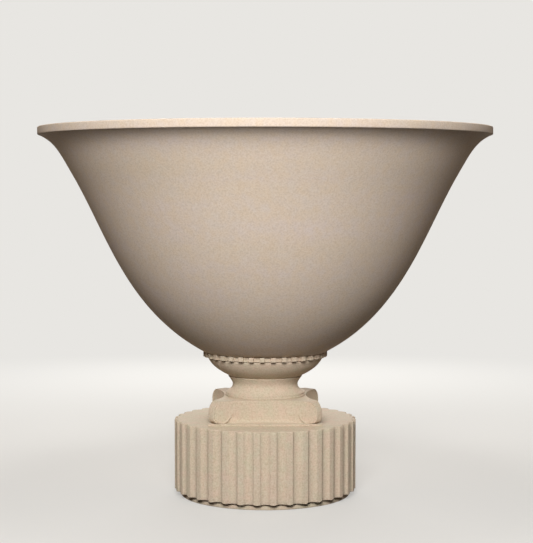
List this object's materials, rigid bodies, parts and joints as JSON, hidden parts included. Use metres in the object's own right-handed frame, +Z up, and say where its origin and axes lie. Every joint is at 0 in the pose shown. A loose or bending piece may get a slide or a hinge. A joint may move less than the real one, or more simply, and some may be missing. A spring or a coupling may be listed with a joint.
{
  "type": "footed urn",
  "caption": "Round footed urn: a wide flared open bowl on a toothed cup, a waisted neck, a scroll capital and a fluted drum.",
  "frame": {"origin": "middle of the underside of the base disc, on the floor", "axes": "+Z up along the urn's axis; -Y is the side that the picture shows; +X to its right"},
  "size_m": [0.914, 0.914, 0.7454],
  "materials": {
    "cast_stone": "fine sandy buff, matt",
    "mortar": "matt",
    "stainless_pin": "ground"
  },
  "bodies": {
    "root": {"base_disc": "cast_stone", "drum": "cast_stone", "capital": "cast_stone", "neck": "cast_stone", "cup": "cast_stone", "bowl": "cast_stone", "bed_base": "mortar", "bed_drum": "mortar", "bed_capital": "mortar", "bed_neck": "mortar", "bed_cup": "mortar", "pin_base_1": "stainless_pin", "pin_base_2": "stainless_pin", "pin_base_3": "stainless_pin", "pin_drum_1": "stainless_pin", "pin_drum_2": "stainless_pin", "pin_capital_1": "stainless_pin", "pin_capital_2": "stainless_pin", "pin_neck_1": "stainless_pin", "pin_neck_2": "stainless_pin", "pin_bowl_1": "stainless_pin", "pin_bowl_2": "stainless_pin", "pin_bowl_3": "stainless_pin"}
  },
  "joints": []
}
